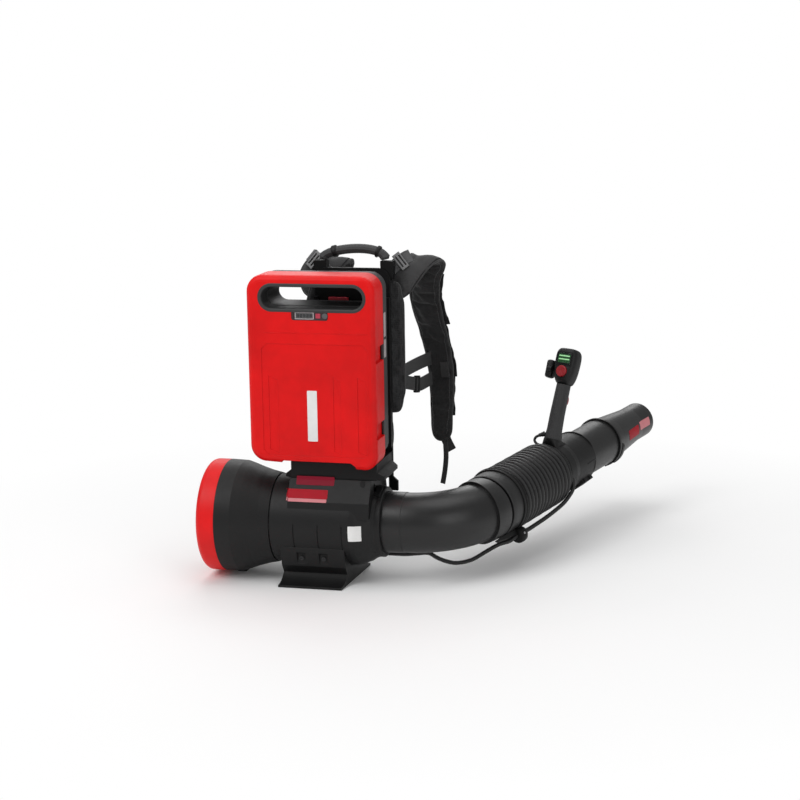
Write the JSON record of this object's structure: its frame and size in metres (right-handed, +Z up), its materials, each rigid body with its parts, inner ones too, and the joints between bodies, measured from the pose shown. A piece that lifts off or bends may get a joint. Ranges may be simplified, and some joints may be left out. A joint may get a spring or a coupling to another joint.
{
  "type": "backpack leaf blower",
  "caption": "Battery backpack leaf blower with axial fan, swivelling elbow, ribbed hose, control handle, nozzle and padded harness.",
  "frame": {"origin": "centre of the foot's underside on the ground, under the fan axis", "axes": "+X along the fan axis towards the outlet, +Y towards the wearer, +Z up"},
  "size_m": [0.7369, 0.7639, 0.5979],
  "materials": {
    "black_plastic": "fine moulded grain",
    "tube_plastic": "smooth, slight sheen",
    "red_plastic": "satin",
    "grey_plastic": "fine moulded grain",
    "hose_rubber": "satin",
    "grip_rubber": "soft touch",
    "strap_fabric": "woven nylon over foam",
    "webbing_fabric": "ribbed webbing",
    "cable_rubber": "satin",
    "steel": "brushed",
    "copper": "satin",
    "cells": "shrink sleeve",
    "board": "board",
    "display": "gloss"
  },
  "bodies": {
    "chassis": {"base_foot": "black_plastic", "fan_housing": "black_plastic", "housing_screws": "steel", "intake_bell": "black_plastic", "intake_ring": "red_plastic", "intake_guard": "black_plastic", "motor_pod": "black_plastic", "motor_stator": "copper", "motor_bearings": "steel", "tail_cone": "black_plastic", "dock_block": "black_plastic", "dock_contacts": "copper", "controller_board": "board", "back_frame": "black_plastic", "frame_screws": "steel", "carry_grip": "grip_rubber", "carry_roots": "black_plastic", "back_pad": "strap_fabric", "lumbar_pad": "strap_fabric", "strap_right": "strap_fabric", "strap_left": "strap_fabric", "strap_webbing": "webbing_fabric", "strap_buckles": "black_plastic"},
    "fan": {"impeller": "black_plastic", "motor_shaft": "steel", "motor_rotor": "steel"},
    "latch": {"battery_latch": "red_plastic"},
    "battery": {"battery_cover": "red_plastic", "battery_shell": "grey_plastic", "battery_cells": "cells", "cell_trays": "black_plastic", "battery_board": "board", "charge_panel": "grey_plastic", "battery_screws": "steel"},
    "charge_key": {"charge_button": "grey_plastic"},
    "elbow": {"elbow_duct": "tube_plastic", "cable_bracket": "black_plastic", "hose_clamp": "black_plastic", "clamp_screw": "steel", "hose_bellows": "hose_rubber", "cable_elbow": "cable_rubber", "cable_hose": "cable_rubber"},
    "tube": {"inner_tube": "tube_plastic", "hose_ring": "black_plastic"},
    "nozzle_body": {"nozzle": "tube_plastic"},
    "handle": {"handle_sleeve": "black_plastic", "sleeve_screws": "steel", "grip_left": "grip_rubber", "grip_right": "grip_rubber", "control_head": "black_plastic", "head_display": "display", "head_board": "board", "trigger_spring": "steel", "cable_grip": "cable_rubber"},
    "power_key": {"power_button": "red_plastic"},
    "trigger_body": {"trigger": "red_plastic"},
    "cruise": {"cruise_lever": "black_plastic"}
  },
  "joints": [
    {"name": "fan_spin", "type": "hinge", "parent": "chassis", "child": "fan", "pos_m": [0, 0, 0.106], "axis": [1, 0, 0], "continuous": true},
    {"name": "battery_lift", "type": "slide", "parent": "chassis", "child": "battery", "axis": [0, 0, 1], "range_m": [0, 0.12]},
    {"name": "battery_latch", "type": "hinge", "parent": "chassis", "child": "latch", "pos_m": [0.02, 0.055, 0.478], "axis": [-1, 0, 0], "range_deg": [0, 14], "stiffness_Nm_per_rad": 0.3, "springref_deg": -8.59},
    {"name": "charge_press", "type": "slide", "parent": "battery", "child": "charge_key", "axis": [0, 1, 0], "range_m": [0, 0.0015], "stiffness_N_per_m": 400, "springref_m": -0.001},
    {"name": "elbow_swivel", "type": "hinge", "parent": "chassis", "child": "elbow", "pos_m": [0.118, 0, 0.106], "axis": [1, 0, 0], "range_deg": [-8, 60], "deforming": ["cable_elbow"]},
    {"name": "hose_bend", "type": "hinge", "parent": "elbow", "child": "tube", "pos_m": [0.32513, 0.21142, 0.12822], "axis": [0, -0.1045, 0.9945], "range_deg": [-25, 25], "stiffness_Nm_per_rad": 1.5, "deforming": ["hose_bellows", "cable_hose"]},
    {"name": "handle_swivel", "type": "hinge", "parent": "tube", "child": "handle", "pos_m": [0.37791, 0.3518, 0.14298], "axis": [0.3502, 0.9315, 0.0979], "range_deg": [-20, 20], "deforming": ["cable_grip"]},
    {"name": "nozzle_twist", "type": "hinge", "parent": "tube", "child": "nozzle_body", "pos_m": [0.43254, 0.49712, 0.15825], "axis": [0.3502, 0.9315, 0.0979], "range_deg": [-20, 0]},
    {"name": "power_press", "type": "slide", "parent": "handle", "child": "power_key", "axis": [0.3174, 0.8884, -0.3316], "range_m": [0, 0.002], "stiffness_N_per_m": 400, "springref_m": -0.001},
    {"name": "trigger_pull", "type": "hinge", "parent": "handle", "child": "trigger_body", "pos_m": [0.38317, 0.35115, 0.28371], "axis": [-0.9367, 0.3483, 0.0366], "range_deg": [0, 12], "stiffness_Nm_per_rad": 0.3, "springref_deg": -11.46, "deforming": ["trigger_spring"]},
    {"name": "cruise_turn", "type": "hinge", "parent": "handle", "child": "cruise", "pos_m": [0.38714, 0.3572, 0.32784], "axis": [-0.9367, 0.3483, 0.0366], "range_deg": [0, 50]}
  ]
}
